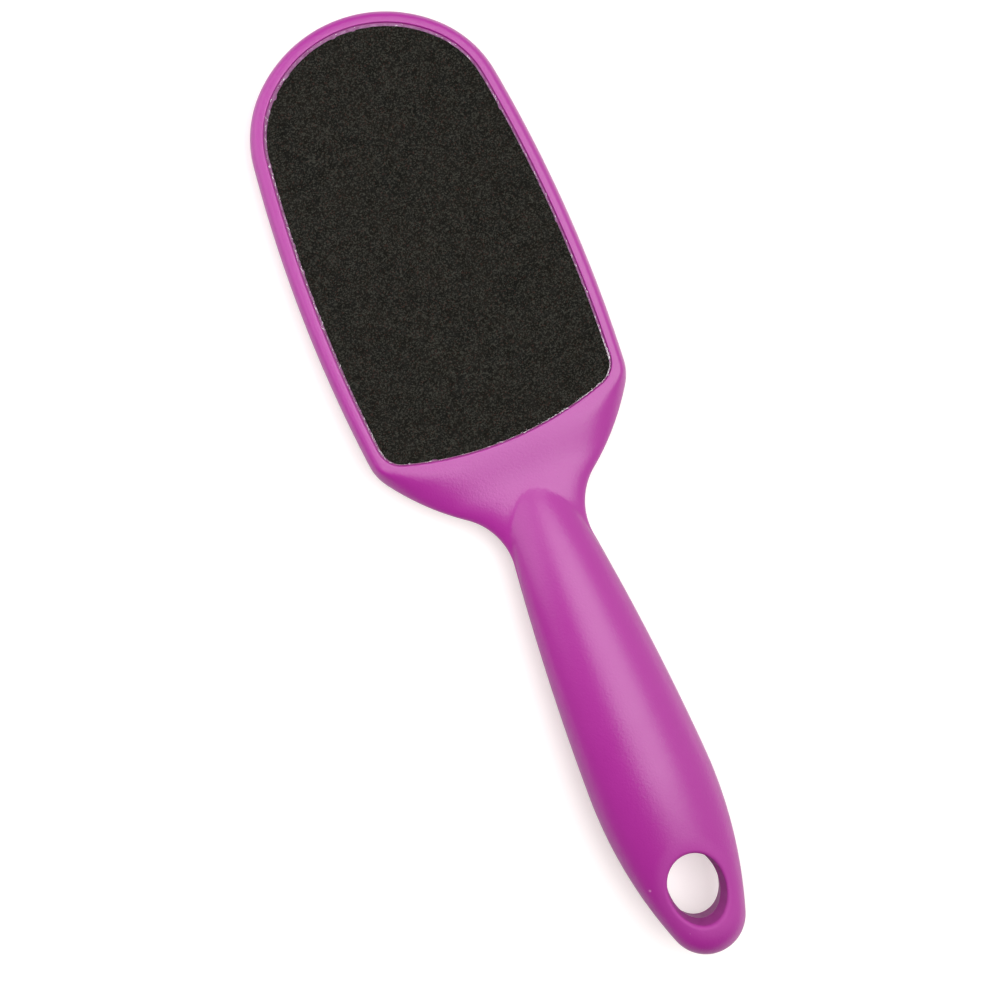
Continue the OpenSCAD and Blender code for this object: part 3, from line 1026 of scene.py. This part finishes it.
def restingPlane():
    # Height at Y = 0 and slope along Y of the plane under the lowest points at both ends
    spots = []
    for piece in (rearShell, rearCoat):
        flat = np.empty(len(piece.data.vertices) * 3)
        piece.data.vertices.foreach_get("co", flat)
        spots.append(flat.reshape(-1, 3))
    spots = np.concatenate(spots)
    slope = 0.0
    for _ in range(6):
        depth = spots[:, 2] - slope * spots[:, 1]
        tail = spots[np.argmin(np.where(spots[:, 1] < 0, depth, 1.0))]
        head = spots[np.argmin(np.where(spots[:, 1] > 0, depth, 1.0))]
        slope = (head[2] - tail[2]) / (head[1] - tail[1])
    return tail[2] - slope * tail[1], slope


def floorPiece():
    f = floor
    height, slope = restingPlane()
    pitch = math.atan(slope)
    print("resting plane: %.3f mm at the middle, pitch %.3f degrees" % (height / mm, math.degrees(pitch)))
    profile = [(r, 0.0) for r in f["rings"]]
    edge = f["rings"][-1]
    for turn in np.linspace(0, math.pi / 2, f["curveSteps"])[1:]:
        profile.append((edge + f["curve"] * math.sin(turn), f["curve"] * (1 - math.cos(turn))))
    points, faces = [(0.0, 0.0, 0.0)], []
    n = f["around"]
    angles = np.linspace(0, 2 * math.pi, n, endpoint=False)
    for r, h in profile:
        points += [(r * math.cos(a), r * math.sin(a), h) for a in angles]
    faces += [(0, 1 + i, 1 + (i + 1) % n) for i in range(n)]
    for k in range(len(profile) - 1):
        a, b = 1 + k * n, 1 + (k + 1) * n
        faces += [(a + i, b + i, b + (i + 1) % n, a + (i + 1) % n) for i in range(n)]
    mesh = bpy.data.meshes.new("whiteFloor")
    mesh.from_pydata(points, [], faces)
    mesh.shade_smooth()
    piece = bpy.data.objects.new("whiteFloor", mesh)
    bpy.context.scene.collection.objects.link(piece)
    piece.location = (0, 0, height - f["gap"] * mm)
    piece.rotation_euler = (pitch, 0, 0)
    return piece


def floorMaterial():
    # Lit as pale card, and brought up to white where the camera sees it. Near the middle the glow is warm,
    # which shows in the file's shadow as painted warm shade; in reflections it glows more to the right, a
    # painted reflection on the file's right flanks.
    f = floor
    material, tree, shader, tint, grain = startMaterial("whiteCard", floorFinish)
    path = addNode(tree, "ShaderNodeLightPath").outputs
    spot = addNode(tree, "ShaderNodeTexCoord").outputs["Object"]
    away = addNode(tree, "ShaderNodeVectorMath", {0: spot}, operation="LENGTH").outputs["Value"]
    across = addNode(tree, "ShaderNodeSeparateXYZ", {0: spot}).outputs["X"]
    direct = maths(tree, "ADD", path["Is Camera Ray"], path["Is Transmission Ray"])
    level = remap(tree, away, f["glowReach"], (f["nearGlow"], f["farGlow"]))
    right = remap(tree, across, (0.0, f["mirrorReach"]))
    seen = maths(tree, "MULTIPLY", direct, level)
    # Painted reflection: the floor glows for glossy rays, more to the right
    paintedReflection = maths(tree, "MULTIPLY", path["Is Glossy Ray"], right)
    tone = mixColours(tree, remap(tree, away, f["glowReach"]), f["warmShadeTint"], (1, 1, 1, 1))
    glow = mixColours(tree, maths(tree, "ADD", seen, paintedReflection), (0, 0, 0, 1), tone)
    tree.links.new(glow, shader.inputs["Emission Color"])
    shader.inputs["Emission Strength"].default_value = 1.0
    return material


whiteFloor = floorPiece()
dress(whiteFloor, floorMaterial())

# Soft lamps overhead and beside the head, and a sky that is lighter to the right
lamps = {
    "keyLamp": {"place": (0.126, -0.05, 0.54), "size": (0.46, 0.74), "power": 2.97},
    "sideLamp": {"place": (-0.255, 0.235, 0.235), "size": (0.58, 0.58), "power": 1.62},
}
sky = {"dim": 0.0, "light": 0.99}


def addLamp(name, place, size, power):
    data = bpy.data.lights.new(name, "AREA")
    data.shape = "ELLIPSE"
    data.size, data.size_y = size
    data.energy = power
    lamp = bpy.data.objects.new(name, data)
    bpy.context.scene.collection.objects.link(lamp)
    lamp.location = place
    aim = Vector(place).normalized()
    across = Vector((0, 1, 0)).cross(aim).normalized()
    lamp.rotation_euler = Matrix((across, aim.cross(across), aim)).transposed().to_euler()


def addSky():
    # White where the camera looks straight at it
    world = bpy.data.worlds.new("softSky")
    bpy.context.scene.world = world
    world.use_nodes = True
    tree = world.node_tree
    background = tree.nodes["Background"].inputs
    path = addNode(tree, "ShaderNodeLightPath").outputs
    way = addNode(tree, "ShaderNodeTexCoord").outputs["Generated"]
    across = addNode(tree, "ShaderNodeSeparateXYZ", {0: way}).outputs["X"]
    level = remap(tree, across, (0.0, 1.0), (sky["dim"], sky["light"]))
    direct = maths(tree, "ADD", path["Is Camera Ray"], path["Is Transmission Ray"])
    shown = addNode(tree, "ShaderNodeMix", {0: direct, 2: level, 3: 1.0}).outputs[0]
    background["Color"].default_value = (1, 1, 1, 1)
    tree.links.new(shown, background["Strength"])


for name, values in lamps.items():
    addLamp(name, **values)
addSky()
print("lamps and sky set")

camera = bpy.data.objects.new("viewCamera", bpy.data.cameras.new("viewCamera"))
bpy.context.scene.collection.objects.link(camera)
camera.location = [v * mm for v in cameraSetup["place"]]
camera.rotation_euler = Euler([math.radians(v) for v in cameraSetup["turn"]])
camera.data.lens = cameraSetup["focal"]
camera.data.sensor_width = cameraSetup["sensor"]
camera.data.clip_start = cameraSetup["nearClip"]
bpy.context.scene.camera = camera
bpy.context.scene.view_settings.view_transform = "Standard"
